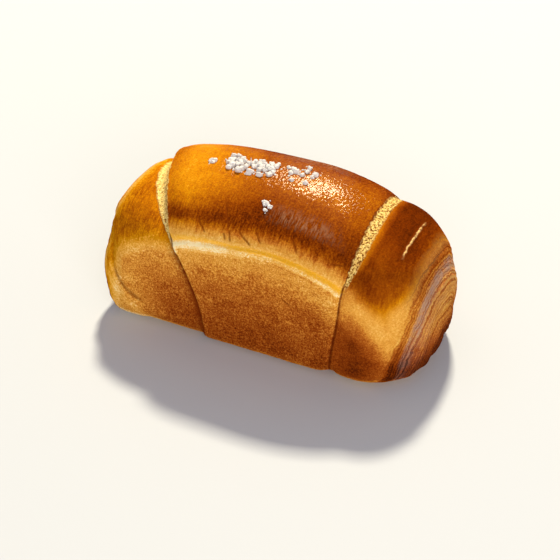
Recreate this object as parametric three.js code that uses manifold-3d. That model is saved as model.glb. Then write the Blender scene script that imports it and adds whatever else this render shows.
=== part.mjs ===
// A salt bread loaf: a roll of dough with a proud middle wrap, baked in a small tin, with salt on its crown.
// Millimetres, +Z up. X runs along the loaf, -Y is its front, and the origin is the middle of its base.

import * as THREE from "three";
import { mergeVertices } from "three/addons/utils/BufferGeometryUtils.js";
import Module from "manifold-3d";

// Tin: a tapered box with round corners, which forms the walls, the ends and the base.
const TIN = {
  width: 77.3,
  sizedAt: 26,
  taper: 0.047,
  bellyHeight: 22.9,
};
const LEFT_END = { reach: 86.9, cornerRadius: 7.4, crown: 3, belly: 4 };
const RIGHT_END = { reach: 86.2, cornerRadius: 23.3, crown: 6.5, belly: 3.2 };

// Base edge: rounder on the two outer wraps, and notched below the right fold.
const BASE_RADIUS = { left: 10.5, middle: 7, right: 8.5, blend: 2 };
const BASE_NOTCH = { radius: 4, reach: 4 };

// Dough: the dome that rises out of the tin, and leaves its walls along the break line.
const DOUGH = {
  centreX: 7.1,
  reachLeft: 105.8,
  reachRight: 92.9,
  powerLeft: 2.87,
  powerRight: 1.93,
  halfWidth: 48.6,
  rise: 55.7,
  riseFrom: 25.6,
  sectionPower: 2.42,
};
const BREAK_BLEND = { atWall: 1.5, atEnd: 4.9, endFrom: 62, endFull: 76 };

// Creases: each edge of the middle wrap runs round the loaf, as a constant and two harmonics of the angle.
const LEFT_CREASE = { x: -41.5, sin1: -15.1, cos1: 12.1, sin2: 2.1, cos2: 1.1 };
const RIGHT_CREASE = { x: 46.4, sin1: 3.5, cos1: -1.8, sin2: 1.6, cos2: 1 };

// Left crease: the left wrap lies lower, behind a torn band that narrows down to the wall.
const LEFT_BAND = { atWall: 1.2, atCrown: 9, from: 52, full: 71 };
const LEFT_DROP = { everywhere: 1.5, atCrease: 11.5, reach: 13, from: 46, full: 82 };
const LEFT_WALL_INSET = 0.7;

// Right crease: a torn groove, steep on its left side, that also narrows down to the wall.
const RIGHT_BAND = { atWall: 1.6, atCrown: 5.4, from: 52, full: 73 };
const RIGHT_GROOVE = { depth: 0.6, ledge: 0.9 };

// Folds: the thin creases down the walls, and the round shoulders beside every crease.
const FOLD = { depth: 1, halfWidth: 0.8 };
const SHOULDER = { depth: 0.8, reach: 4.5 };

// Outer wraps: the crown tucks in at the left end, above the wall, and both wraps swell higher up.
const LEFT_TUCK = { depth: 2.6, z: 42, reach: 9.4, from: 66, full: 80 };
const LEFT_SWELL = { height: 1.2, from: 54, full: 60 };
const RIGHT_SWELL = { height: 1.2, at: 17, reach: 10, from: 52, full: 62 };

// Ends: arched layers of the roll, inside one another.
const END_LAYERS = { halfWidth: 33.5, height: 58.5, power: 2.8, count: 3.4, relief: 0.5, from: 68, full: 76 };

// Surface grid: rays from an axis inside the loaf, closer together at the creases and the ends' rims.
const AXIS = { z: 31, half: 73 };
const FAN = { reach: 12, radius: 42, rim: 0.46, core: 0.74 };
const COLUMNS = { shoulder: 4, rim: 9, core: 4, outer: 6, band: 7, edge: 2, middle: 11 };
const ROWS = 56;
const CREASE_MARGIN = 4;
const RAY_LENGTH = 110;
const RAY_STEPS = 34;
const BASE_SNAP = 0.05;

// Salt: coarse grains on the crown. Each patch has its place, half sizes, grain count and grain scale.
const SALT_PATCHES = [
  { x: -15.5, angle: 92.5, halfLength: 12.5, halfWidth: 7, grains: 38, size: 0.95 },
  { x: 8.5, angle: 93, halfLength: 7.5, halfWidth: 11.5, grains: 11, size: 0.8 },
  { x: 5, angle: 66, halfLength: 3.2, halfWidth: 3, grains: 6, size: 0.55 },
  { x: -35, angle: 90, halfLength: 1.6, halfWidth: 1.6, grains: 3, size: 0.7 },
];
const GRAIN = { largest: 1.9, smallest: 1.3, flattest: 0.65, sunk: 0.3, spacing: 1.15, squareness: 0.6 };
const GRAIN_TRIES = 40;
const GOLDEN_RATIO = 0.618034;
const SALT_SEED = 20;

const COLOURS = { crust: 0xb8742a };

const ramp = (t) => THREE.MathUtils.smoothstep(t, 0, 1);
const easeOut = (t) => 1 - (1 - THREE.MathUtils.clamp(t, 0, 1)) ** 2;
const bell = (distance, width) => Math.exp(-((distance / width) ** 2));

function smoothMax(a, b, blend) {
  const weight = THREE.MathUtils.clamp(0.5 + (0.5 * (a - b)) / blend, 0, 1);
  return b + (a - b) * weight + blend * weight * (1 - weight);
}

function creaseX(crease, angle) {
  const first = crease.sin1 * Math.sin(angle) + crease.cos1 * Math.cos(angle);
  const second = crease.sin2 * Math.sin(2 * angle) + crease.cos2 * Math.cos(2 * angle);
  return crease.x + first + second;
}

// The angle round the axis: 0 at the front, a quarter turn at the top.
const angleAt = (y, z) => Math.atan2(z - AXIS.z, -y);
const share = (value, from, full) => ramp((value - from) / (full - from));

function bandWidth(band, z) {
  return THREE.MathUtils.lerp(band.atWall, band.atCrown, share(z, band.from, band.full));
}

// Distance outside the tin's inner face, negative inside.
function tinDistance(x, y, z, baseRadius) {
  const end = x < 0 ? LEFT_END : RIGHT_END;
  const lean = TIN.taper * (z - TIN.sizedAt);
  const halfWidth = TIN.width / 2;
  const crown = end.crown * (y / halfWidth) ** 2;
  const belly = end.belly * ((z - TIN.bellyHeight) / TIN.bellyHeight) ** 2;
  const outX = Math.abs(x) - (end.reach + lean - crown - belly - end.cornerRadius);
  const outY = Math.abs(y) - (halfWidth + lean - end.cornerRadius);
  const corner = Math.hypot(Math.max(outX, 0), Math.max(outY, 0));
  const plan = corner + Math.min(Math.max(outX, outY), 0) - end.cornerRadius;
  const outSide = plan + baseRadius;
  const outBase = baseRadius - z;
  const edge = Math.hypot(Math.max(outSide, 0), Math.max(outBase, 0));
  return edge + Math.min(Math.max(outSide, outBase), 0) - baseRadius;
}

function baseRadiusAt(fromLeft, fromRight) {
  const onLeft = ramp(-fromLeft / BASE_RADIUS.blend);
  const onRight = ramp(fromRight / BASE_RADIUS.blend);
  const left = (BASE_RADIUS.left - BASE_RADIUS.middle) * onLeft;
  const right = (BASE_RADIUS.right - BASE_RADIUS.middle) * onRight;
  const notch = BASE_NOTCH.radius * bell(fromRight, BASE_NOTCH.reach);
  return BASE_RADIUS.middle + left + right + notch;
}

// Distance outside the risen dough, negative inside.
function doughDistance(x, y, z) {
  const fromCentre = x - DOUGH.centreX;
  const reach = fromCentre < 0 ? DOUGH.reachLeft : DOUGH.reachRight;
  const power = fromCentre < 0 ? DOUGH.powerLeft : DOUGH.powerRight;
  const across = (Math.abs(y) / DOUGH.halfWidth) ** DOUGH.sectionPower;
  const up = (Math.max(z - DOUGH.riseFrom, 0) / DOUGH.rise) ** DOUGH.sectionPower;
  const section = (across + up) ** (power / DOUGH.sectionPower);
  const along = (Math.abs(fromCentre) / reach) ** power;
  return ((along + section) ** (1 / power) - 1) * DOUGH.halfWidth;
}

// How far the crown is cut back beside the two creases.
function crownCut(fromLeft, fromRight, z) {
  const leftBand = bandWidth(LEFT_BAND, z);
  const rightBand = bandWidth(RIGHT_BAND, z);
  const tuck = share(z, LEFT_DROP.from, LEFT_DROP.full) * Math.exp(Math.min(fromLeft, 0) / LEFT_DROP.reach);
  const step = (LEFT_DROP.everywhere + LEFT_DROP.atCrease * tuck) * easeOut(-fromLeft / leftBand);
  const grooveFloor = ramp(fromRight / RIGHT_GROOVE.ledge) * ramp(1 - fromRight / rightBand);
  const shoulders = bell(fromLeft, SHOULDER.reach) + bell(fromRight - rightBand / 2, SHOULDER.reach);
  return step + RIGHT_GROOVE.depth * grooveFloor + SHOULDER.depth * shoulders;
}

// How far the crown is tucked in at the left end, less how far the outer wraps swell.
function outerCut(x, z, fromRight) {
  const tuck = LEFT_TUCK.depth * bell(z - LEFT_TUCK.z, LEFT_TUCK.reach);
  const leftSwell = LEFT_SWELL.height * share(z, LEFT_SWELL.from, LEFT_SWELL.full);
  const nearRight = bell(fromRight - RIGHT_SWELL.at, RIGHT_SWELL.reach);
  const rightSwell = RIGHT_SWELL.height * nearRight * share(z, RIGHT_SWELL.from, RIGHT_SWELL.full);
  return (tuck - leftSwell) * share(-x, LEFT_TUCK.from, LEFT_TUCK.full) - rightSwell;
}

// How far the walls are cut back along the folds.
function wallCut(fromLeft, fromRight) {
  const inset = LEFT_WALL_INSET * ramp(-fromLeft / LEFT_BAND.atWall);
  const folds = bell(fromLeft, FOLD.halfWidth) + bell(fromRight, FOLD.halfWidth);
  return inset + FOLD.depth * folds;
}

// Distance outside the loaf: the dough held in by the tin, with its creases.
function loafDistance(x, y, z) {
  const angle = angleAt(y, z);
  const fromLeft = x - creaseX(LEFT_CREASE, angle);
  const fromRight = x - creaseX(RIGHT_CREASE, angle);
  const offBase = ramp(z / BASE_RADIUS.middle);
  const crown = doughDistance(x, y, z) + crownCut(fromLeft, fromRight, z);
  const dough = crown + outerCut(x, z, fromRight);
  const box = tinDistance(x, y, z, baseRadiusAt(fromLeft, fromRight));
  const tin = box + wallCut(fromLeft, fromRight) * offBase;
  const endShare = share(Math.abs(x), BREAK_BLEND.endFrom, BREAK_BLEND.endFull);
  return smoothMax(dough, tin, THREE.MathUtils.lerp(BREAK_BLEND.atWall, BREAK_BLEND.atEnd, endShare));
}

// Where a ray from inside the loaf leaves it.
function castRay(origin, direction) {
  let near = 0;
  let far = RAY_LENGTH;
  const point = new THREE.Vector3();
  for (let step = 0; step < RAY_STEPS; step += 1) {
    const middle = (near + far) / 2;
    point.copy(origin).addScaledVector(direction, middle);
    if (loafDistance(point.x, point.y, point.z) < 0) {
      near = middle;
    } else {
      far = middle;
    }
  }
  return point;
}

const sideways = (angle) => new THREE.Vector3(0, -Math.cos(angle), Math.sin(angle));
const onAxis = (x) => new THREE.Vector3(x, 0, AXIS.z);

// The body's columns: places along the loaf that follow both creases at every angle.
function columnX(column, angle) {
  const left = creaseX(LEFT_CREASE, angle);
  const right = creaseX(RIGHT_CREASE, angle);
  const knots = [
    [-AXIS.half, 0],
    [left - LEFT_BAND.atCrown - CREASE_MARGIN / 2, COLUMNS.outer],
    [left, COLUMNS.band],
    [left + CREASE_MARGIN, COLUMNS.edge],
    [right - CREASE_MARGIN, COLUMNS.middle],
    [right, COLUMNS.edge],
    [right + RIGHT_BAND.atCrown + CREASE_MARGIN / 2, COLUMNS.band],
    [AXIS.half, COLUMNS.outer],
  ];
  let start = 0;
  for (let knot = 1; knot < knots.length; knot += 1) {
    const [x, count] = knots[knot];
    if (column <= start + count) {
      return THREE.MathUtils.lerp(knots[knot - 1][0], x, (column - start) / count);
    }
    start += count;
  }
  return AXIS.half;
}

const BODY_COLUMNS = 2 * (COLUMNS.outer + COLUMNS.band + COLUMNS.edge) + COLUMNS.middle;
const CAP_COLUMNS = COLUMNS.shoulder + COLUMNS.rim + COLUMNS.core;
const ALL_COLUMNS = BODY_COLUMNS + 2 * CAP_COLUMNS;

// How far a ray past the body leans towards the end, from 0 on the body to 1 at the pole.
function fanTilt(pastBody) {
  if (pastBody <= COLUMNS.shoulder) {
    return (FAN.rim * pastBody) / COLUMNS.shoulder;
  }
  const pastShoulder = pastBody - COLUMNS.shoulder;
  if (pastShoulder <= COLUMNS.rim) {
    return THREE.MathUtils.lerp(FAN.rim, FAN.core, pastShoulder / COLUMNS.rim);
  }
  return THREE.MathUtils.lerp(FAN.core, 1, (pastShoulder - COLUMNS.rim) / COLUMNS.core);
}

// The surface point of a column, counted from the left end, at an angle round the axis.
function surfacePoint(column, angle) {
  const bodyColumn = THREE.MathUtils.clamp(column - CAP_COLUMNS, 0, BODY_COLUMNS);
  const pastBody = column - CAP_COLUMNS - bodyColumn;
  const tilt = fanTilt(Math.abs(pastBody));
  const direction = sideways(angle).multiplyScalar(FAN.radius * (1 - tilt));
  direction.x = FAN.reach * tilt * Math.sign(pastBody);
  return castRay(onAxis(columnX(bodyColumn, angle)), direction.normalize());
}

// The ends' layers: ridges along arches inside one another.
function pressEndLayers(point) {
  const across = (Math.abs(point.y) / END_LAYERS.halfWidth) ** END_LAYERS.power;
  const up = (Math.max(point.z, 0) / END_LAYERS.height) ** END_LAYERS.power;
  const level = (across + up) ** (1 / END_LAYERS.power);
  const offBase = ramp(point.z / BASE_RADIUS.middle);
  const onEnd = share(Math.abs(point.x), END_LAYERS.from, END_LAYERS.full) * offBase;
  const ridge = Math.cos((1 - Math.min(level, 1)) * END_LAYERS.count * 2 * Math.PI);
  point.x += Math.sign(point.x) * END_LAYERS.relief * (ridge - 1) * onEnd;
}

// The body: a sphere's grid with its poles at the ends, moved onto the loaf.
function makeBody() {
  const grid = new THREE.SphereGeometry(1, ROWS, ALL_COLUMNS);
  const position = grid.attributes.position;
  for (let i = 0; i < position.count; i += 1) {
    const row = i % (ROWS + 1);
    const column = ALL_COLUMNS - Math.floor(i / (ROWS + 1));
    const fromBase = ((row % ROWS) / ROWS) * 2 * Math.PI;
    const point = surfacePoint(column, 1.5 * Math.PI - fromBase);
    pressEndLayers(point);
    if (point.z < BASE_SNAP) {
      point.z = 0;
    }
    position.setXYZ(i, point.x, point.y, point.z);
  }
  return grid;
}

function makeRandom(seed) {
  let state = seed;
  return () => {
    state = (Math.imul(state, 1664525) + 1013904223) >>> 0;
    return state / 2 ** 32;
  };
}

// A grain: an eight-sided crystal, split once and pushed out towards a block.
function makeGrain(size, random) {
  const grain = new THREE.OctahedronGeometry(1, 1);
  const position = grain.attributes.position;
  for (let i = 0; i < position.count; i += 1) {
    const corner = new THREE.Vector3().fromBufferAttribute(position, i);
    const longest = Math.max(Math.abs(corner.x), Math.abs(corner.y), Math.abs(corner.z));
    corner.multiplyScalar(1 + GRAIN.squareness * (1 / longest - 1));
    position.setXYZ(i, corner.x, corner.y, corner.z);
  }
  const flatness = () => THREE.MathUtils.lerp(GRAIN.flattest, 1, random());
  grain.scale(size * flatness(), size * flatness(), size * flatness());
  grain.rotateZ(random() * Math.PI);
  grain.rotateX(random() * Math.PI);
  return grain;
}

// The grains of every patch, largest first, each clear of most of the others.
function makeSalt() {
  const random = makeRandom(SALT_SEED);
  const grains = [];
  const places = [];
  for (const patch of SALT_PATCHES) {
    for (let n = 0; n < patch.grains; n += 1) {
      const size = patch.size * THREE.MathUtils.lerp(GRAIN.largest, GRAIN.smallest, n / patch.grains);
      for (let attempt = 0; attempt < GRAIN_TRIES; attempt += 1) {
        const along = 2 * (((n + random()) * GOLDEN_RATIO) % 1) - 1;
        const across = random() + random() - 1;
        const arc = (across * patch.halfWidth) / (DOUGH.riseFrom + DOUGH.rise - AXIS.z);
        const outward = sideways(THREE.MathUtils.degToRad(patch.angle) + arc);
        const place = castRay(onAxis(patch.x + along * patch.halfLength), outward);
        if (places.every((other) => other.distanceTo(place) > size * GRAIN.spacing)) {
          places.push(place);
          const centre = place.clone().addScaledVector(outward, size * GRAIN.sunk);
          grains.push(makeGrain(size, random).translate(centre.x, centre.y, centre.z));
          break;
        }
      }
    }
  }
  return grains;
}

const wasm = await Module();
wasm.setup();

// A closed solid from a geometry whose shared corners are merged.
function toSolid(geometry) {
  const bare = geometry.clone();
  bare.deleteAttribute("normal");
  bare.deleteAttribute("uv");
  const merged = mergeVertices(bare);
  return new wasm.Manifold(
    new wasm.Mesh({
      numProp: 3,
      vertProperties: new Float32Array(merged.attributes.position.array),
      triVerts: new Uint32Array(merged.index.array),
    }),
  );
}

function toGeometry(solid) {
  const mesh = solid.getMesh();
  const geometry = new THREE.BufferGeometry();
  geometry.setAttribute("position", new THREE.BufferAttribute(new Float32Array(mesh.vertProperties), 3));
  geometry.setIndex(new THREE.BufferAttribute(new Uint32Array(mesh.triVerts), 1));
  geometry.computeVertexNormals();
  return geometry;
}

// The outer skin of a solid, with any hollow that its pieces seal filled.
function outerSkin(solid) {
  const shells = solid.decompose();
  shells.sort((a, b) => b.volume() - a.volume());
  return shells[0];
}

function makeLoaf() {
  let solid = toSolid(makeBody());
  for (const grain of makeSalt()) {
    solid = solid.add(toSolid(grain));
  }
  const crust = new THREE.MeshStandardMaterial({ color: COLOURS.crust, roughness: 0.55, metalness: 0 });
  const loaf = new THREE.Mesh(toGeometry(outerSkin(solid)), crust);
  loaf.name = "loaf";
  return loaf;
}

const part = new THREE.Group();
part.add(makeLoaf());

export default part;
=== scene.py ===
# A salt bread loaf: its browned crust, torn crumb, layered ends and salt, over the packed solid.
# Lengths are design millimetres until a mesh is made. X runs along the loaf, -Y is its front and +Z is up.

import math
from functools import reduce
from types import SimpleNamespace as Sizes

import bmesh
import bpy
import numpy as np
from mathutils import Matrix, Vector, noise
from mathutils.kdtree import KDTree


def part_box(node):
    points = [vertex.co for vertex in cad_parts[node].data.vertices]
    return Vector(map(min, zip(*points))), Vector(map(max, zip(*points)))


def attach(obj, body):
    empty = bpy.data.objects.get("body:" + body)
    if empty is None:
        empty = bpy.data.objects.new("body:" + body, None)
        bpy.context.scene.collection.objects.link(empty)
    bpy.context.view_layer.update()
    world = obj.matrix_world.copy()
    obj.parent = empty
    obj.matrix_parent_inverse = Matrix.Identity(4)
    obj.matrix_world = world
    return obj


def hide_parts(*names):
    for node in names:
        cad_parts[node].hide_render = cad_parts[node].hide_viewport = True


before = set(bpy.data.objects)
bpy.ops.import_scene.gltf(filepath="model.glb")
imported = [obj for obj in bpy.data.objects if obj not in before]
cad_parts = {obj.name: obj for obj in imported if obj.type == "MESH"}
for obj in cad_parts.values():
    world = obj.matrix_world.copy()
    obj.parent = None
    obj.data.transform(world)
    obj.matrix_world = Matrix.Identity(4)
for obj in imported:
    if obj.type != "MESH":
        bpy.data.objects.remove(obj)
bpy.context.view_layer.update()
LOAF_LOW, LOAF_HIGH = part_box("loaf")

# Scale: how many metres of the frame one design millimetre takes.
DESIGN_LENGTH = 172.2
MM = (LOAF_HIGH.x - LOAF_LOW.x) / DESIGN_LENGTH

# Tin, dough and creases: the same form as the solid.
TIN = Sizes(width=77.3, sized_at=26, taper=0.047, belly_height=22.9)
LEFT_END = Sizes(reach=86.9, corner_radius=7.4, crown=3, belly=4)
RIGHT_END = Sizes(reach=86.2, corner_radius=23.3, crown=6.5, belly=3.2)
BASE_RADIUS = Sizes(left=10.5, middle=7, right=8.5, blend=2)
BASE_NOTCH = Sizes(radius=4, reach=4)
DOUGH = Sizes(centre_x=7.1, reach_left=105.8, reach_right=92.9, power_left=2.87, power_right=1.93,
              half_width=48.6, rise=55.7, rise_from=25.6, section_power=2.42)
BREAK_BLEND = Sizes(at_wall=1.5, at_end=4.9, end_from=62, end_full=76)
LEFT_CREASE = Sizes(x=-41.5, sin1=-15.1, cos1=12.1, sin2=2.1, cos2=1.1)
RIGHT_CREASE = Sizes(x=46.4, sin1=3.5, cos1=-1.8, sin2=1.6, cos2=1)
LEFT_BAND = Sizes(at_wall=1.2, at_crown=9, start=52, full=71)
LEFT_DROP = Sizes(everywhere=1.5, at_crease=11.5, reach=13, start=46, full=82)
LEFT_WALL_INSET = 0.7
RIGHT_BAND = Sizes(at_wall=1.6, at_crown=5.4, start=52, full=73)
RIGHT_GROOVE = Sizes(depth=0.6, ledge=0.9)
FOLD = Sizes(depth=1, half_width=0.8)
SHOULDER = Sizes(depth=0.8, reach=4.5)
LEFT_TUCK = Sizes(depth=2.6, z=42, reach=9.4, start=66, full=80)
LEFT_SWELL = Sizes(height=1.2, start=54, full=60)
RIGHT_SWELL = Sizes(height=1.2, at=17, reach=10, start=52, full=62)
END_LAYERS = Sizes(half_width=33.5, height=58.5, power=2.8, count=3.4, relief=0.5, start=68, full=76)

# Surface grid: columns along the loaf and round its ends, rows round its axis.
AXIS = Sizes(z=31, half=73)
FAN = Sizes(reach=12, radius=42, rim=0.46, core=0.74)
COLUMNS = Sizes(shoulder=12, rim=38, core=20, outer=26, band=27, edge=12, middle=76)
ROWS = 280
ROW_DENSITY = [(-90, 0.35), (-42, 0.35), (-36, 0.9), (0, 0.9), (8, 1.6), (52, 1.6), (60, 1), (118, 1),
               (128, 1.3), (170, 1.3), (180, 0.8), (216, 0.8), (222, 0.35), (270, 0.35)]
ROW_SAMPLES = 721
CREASE_MARGIN = 4
RAY_LENGTH = 110
RAY_STEPS = 34
SLOPE_STEP = 0.05
NEAR_BREAK = 2.5
NEAR_CROSSINGS = 5

# Salt: the solid's grains, and finer ones between them.
CROWN_RADIUS = DOUGH.rise_from + DOUGH.rise - AXIS.z
SALT_PATCHES = [
    Sizes(x=-15.5, angle=92.5, half_length=12.5, half_width=7, grains=38, size=0.95),
    Sizes(x=8.5, angle=93, half_length=7.5, half_width=11.5, grains=11, size=0.8),
    Sizes(x=5, angle=66, half_length=3.2, half_width=3, grains=6, size=0.55),
    Sizes(x=-35, angle=90, half_length=1.6, half_width=1.6, grains=3, size=0.7),
]
GRAIN = Sizes(largest=1.9, smallest=1.3, flattest=0.65, sunk=0.3, spacing=1.15, squareness=0.6)
GRAIN_TRIES = 40
GRAIN_DETAIL = 3
GRAIN_LUMPS = Sizes(height=0.34, size=0.8)
FINE_GRAINS = Sizes(each=2, smallest=0.25, largest=0.6, spread=2.2)
GOLDEN_RATIO = 0.618034
SALT_SEED = 20
RANDOM = Sizes(factor=1664525, step=1013904223, span=2**32)

# Relief that the solid leaves out: the lip and groove of the break line, crumb, layers, wrinkles and folds.
LIP = Sizes(height=0.5, at=1.1, width=1.2, on_outer=0.3)
LIP_GROOVE = Sizes(depth=0.55, at=3.4, width=1.0)
SWELL = Sizes(crown=0.35, crown_size=17, wall=0.16, wall_size=9, crown_from=2)
BLISTERS = Sizes(height=0.07, size=2.4, start=8, full=16)
CRUMB = Sizes(depth=0.45, pit_size=1.7, edge=0.12, start=3, full=6)
FINE_LAYERS = Sizes(count=17, relief=0.14, warp=0.05, warp_size=9)
LAYER_SLANT = 0.26
# Lines on the crust: x and angle where each starts and ends, and its depth.
WRINKLES = [
    ((-16.3, 63.8), (-9, 48), 0.15),
    ((-9, 48), (-6.7, 42.3), 0.18),
    ((-4.4, 48.9), (3.8, 42.8), 0.18),
    ((-11.5, 46.3), (-9.4, 42.6), 0.12),
    ((3.4, 51.6), (8.4, 44.9), 0.18),
    ((41.4, 45.1), (47.2, 46.4), 0.25),
    ((-25, 49), (-20, 43.5), 0.15),
    ((21, 53), (26, 45), 0.15),
    ((18.8, 16.4), (23.7, 12), 0.2),
    ((-12, 131), (-17, 140), 0.22),
    ((4, 129), (0, 139), 0.2),
    ((21, 127), (16, 137), 0.2),
]
TEAR = ((68, 59), (68.4, 111), 0.5)
TEAR_EDGE = ((68.9, 62), (69.2, 109), -0.35)
LINE = Sizes(relief_width=0.75, width=0.75, taper=0.15, noise=dict(size=3), by=1.6)
ARC_LENGTH = 0.75
LEFT_RIM = Sizes(height=0.8, at=-1.8, width=1.6, start=72, full=79)
END_FOLD = Sizes(x=-50, z=39.3, radius=26.2, lean=0.3, depth=0.6, width=0.9, swell=0.8,
                 start=-56, full=-62, low=46, high=53)
RELIEF_FROM = 1.1

# Browning: how dark the crust is, from 0 for pale to 1 for deep brown, by millimetres above the break line.
BREAK_SHIFT = [(-80, 0), (-66, 1), (-56, 3.4), (-40, 3.2), (-21, 2.7), (-5, 0.9), (13, -0.3), (31, -0.5),
               (40, -1), (54, -2.5), (63, -3), (69, -5.5), (76, -2.5), (86, -2)]
HIGH_END = Sizes(start=58, full=68, low=44, high=58, narrowing=1.6)
# The small darker step just under the break line, around 0.9 mm below it, is painted shadow under the lip.
MIDDLE_TOAST = [(-60, 0.7), (-51, 0.73), (-40, 0.68), (-30, 0.6), (-22, 0.54), (-15, 0.48), (-11, 0.41),
                (-7.5, 0.32), (-4, 0.31), (-1.6, 0.3), (-0.9, 0.36), (-0.4, 0.3), (0.1, 0.05), (0.9, 0.02),
                (1.5, 0.1), (3, 0.17), (5.2, 0.22), (6.6, 0.29), (8, 0.4), (9.8, 0.55), (11.4, 0.69),
                (12.9, 0.81), (14.4, 0.88), (17, 0.88), (19, 0.85), (22, 0.83), (24, 0.83), (26.5, 0.81),
                (29, 0.75), (32, 0.7), (36, 0.68), (60, 0.65)]
LEFT_TOAST = [(-50, 0.68), (-30, 0.66), (-22, 0.61), (-12, 0.46), (-5, 0.37), (-2, 0.35), (-0.5, 0.35),
              (0.5, 0.25), (3, 0.23), (5, 0.27), (6.5, 0.33), (8, 0.4), (10, 0.48), (12, 0.54), (15, 0.57),
              (20, 0.55), (28, 0.53), (40, 0.5)]
RIGHT_TOAST = [(-40, 0.86), (-15, 0.85), (-12, 0.79), (-9.5, 0.67), (-6, 0.55), (-4, 0.45), (-2.5, 0.36),
               (-0.5, 0.27), (1, 0.23), (3, 0.26), (5, 0.35), (7, 0.45), (9, 0.53), (12, 0.62), (18, 0.7),
               (26, 0.76), (34, 0.79), (50, 0.81)]
# Browning of the end faces, by the level of their arches.
END_TOAST = [(0, 0.5), (0.4, 0.46), (0.7, 0.41), (0.79, 0.43), (0.84, 0.48), (0.9, 0.45), (0.93, 0.48),
             (0.96, 0.48), (0.985, 0.35), (1, 0.25), (1.02, 0.24), (1.06, 0.3)]

# Patches: an amount, the masks that it is multiplied by, and stops along the values that it follows.
CREASE_SIDE = [(0, 0), (0.5, 1)]
CROWN_RISE = [(6, 0), (16, 1)]
MIDDLE_PATCHES = [
    # A duller lip towards the right, a wide pale lip at the left and the tan above it.
    dict(by=0.24, torn_rise=[(-0.3, 0), (0.1, 1), (1.1, 1), (1.8, 0)],
         from_left=[(0, 0.2), (3, 0), (24, 0), (38, 0.4), (50, 0.58), (64, 0.52), (76, 0.2), (92, 0.1)]),
    dict(by=-0.24, on=["middle"], torn_rise=[(-3, 0), (-1.4, 0.75), (-0.4, 1), (-0.1, 0.9), (0, 0)],
         from_left=[(2, 0), (6, 1), (22, 1), (44, 0.2), (60, 0)]),
    dict(by=-0.14, from_left=[(16, 1), (40, 0.25), (48, 0)],
         rise=[(1, 0), (1.6, 1), (3, 1), (4.2, 0.3), (8.5, 1), (12, 1), (15, 0)]),
    # The darkest part of the dark band, and a lighter, golden place on the crown under the glaze's glint:
    # partly golden crust and partly painted highlight.
    dict(by=0.08, from_left=[(19, 0), (28, 1), (58, 1), (72, 0)],
         rise=[(14, 0), (17, 0.5), (20, 1), (22.5, 1), (26, 0)]),
    dict(by=-0.07, from_left=[(58, 0), (70, 1), (88, 1), (98, 0)], rise=[(33, 0), (38, 1)]),
]
RIGHT_PATCHES = [
    # Paler beside the fold and the crumb, darker near the crease and high beside the end.
    dict(by=-0.13, from_right=[(0.5, 0), (1.4, 1), (5, 0.8), (11, 0)], rise=[(-6, 1), (-1, 0)]),
    dict(by=-0.24, right_gap=[(0.9, 0), (1.05, 1), (1.3, 0.6), (1.8, 0)], rise=[(8, 0), (16, 1)]),
    dict(by=0.1, from_right=[(3, 0), (7, 1), (10, 1), (14, 0.5), (18, 0)],
         rise=[(3, 0), (7, 0.6), (10, 1), (20, 1), (26, 0)]),
    dict(by=0.2, z=[(47, 0), (57, 1)], rise=[(8, 1), (18, 0)]),
]
# How many millimetres the tan of the right wrap is moved up, below and above the break line.
RIGHT_TAN = [
    dict(by=-1, from_right=[(8, 0.7), (16, 2), (24, 4.5)], rise=[(-4, 1), (0, 0)]),
    dict(by=-1, from_right=[(13, 0), (19, 1.3), (25, 1), (30, 0)], rise=[(0, 0), (3, 1)]),
]
WHOLE_PATCHES = [
    # A lighter crown at the left, a darker one at the far right and a darker wall low at the right.
    dict(by=-0.3, on=["off_left"], from_left=[(0, 0.7), (12, 1), (50, 0)],
         rise=[(9, 0), (12.5, 0.35), (17.5, 0.3), (19.5, 0.7), (22, 1.1), (27, 1.2), (31, 1)]),
    dict(by=0.2, from_left=[(107, 0), (124, 1)], rise=CROWN_RISE),
    dict(by=0.1, on=["middle"], from_left=[(52, 0), (66, 1)], rise=[(-18, 1), (-10, 0)]),
]
PALE_RIM = dict(on=["on_right"], level=[(1, 0.85), (1.04, 0.75), (1.13, 0)],
                z=[(3, 0.5), (16, 0.55), (28, 1), (50, 1), (60, 0.2), (66, 0)])
PALE_RIM_TOAST = 0.26
END_FACE = dict(warped_level=[(1, 1), (1.025, 0)], z=[(1, 0), (3, 1)])
END_PATCHES = [
    # Lines along the layers, darker towards the base and along the top of the lip.
    dict(by=-1, on=["line_swing"], level=[(0.88, 0.32), (0.98, 0.18)]),
    dict(z=[(0, 0.6), (12, 0.5), (20, 0.25), (30, 0)]),
    dict(by=0.3, z=[(42, 0), (56, 1)], level=[(0.75, 0.3), (0.94, 0.4), (0.985, 1)]),
]
OUTSIDE_FOLD = dict(on=["fold_lines", "fold_shown"], fold_gap=[(0.3, 0), (1, 1), (6, 1), (10, 0.3)])
# A paler edge at the base: painted bounce light from the floor, less of it on the middle wrap.
BOUNCE_LIT_BASE_EDGE = [(2, 1), (3.4, 0.85), (5.6, 0.15), (7, 0)]
BASE_BOUNCE_LIGHT = [dict(by=-0.4, z=BOUNCE_LIT_BASE_EDGE), dict(by=0.14, on=["middle"], z=BOUNCE_LIT_BASE_EDGE)]

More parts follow.
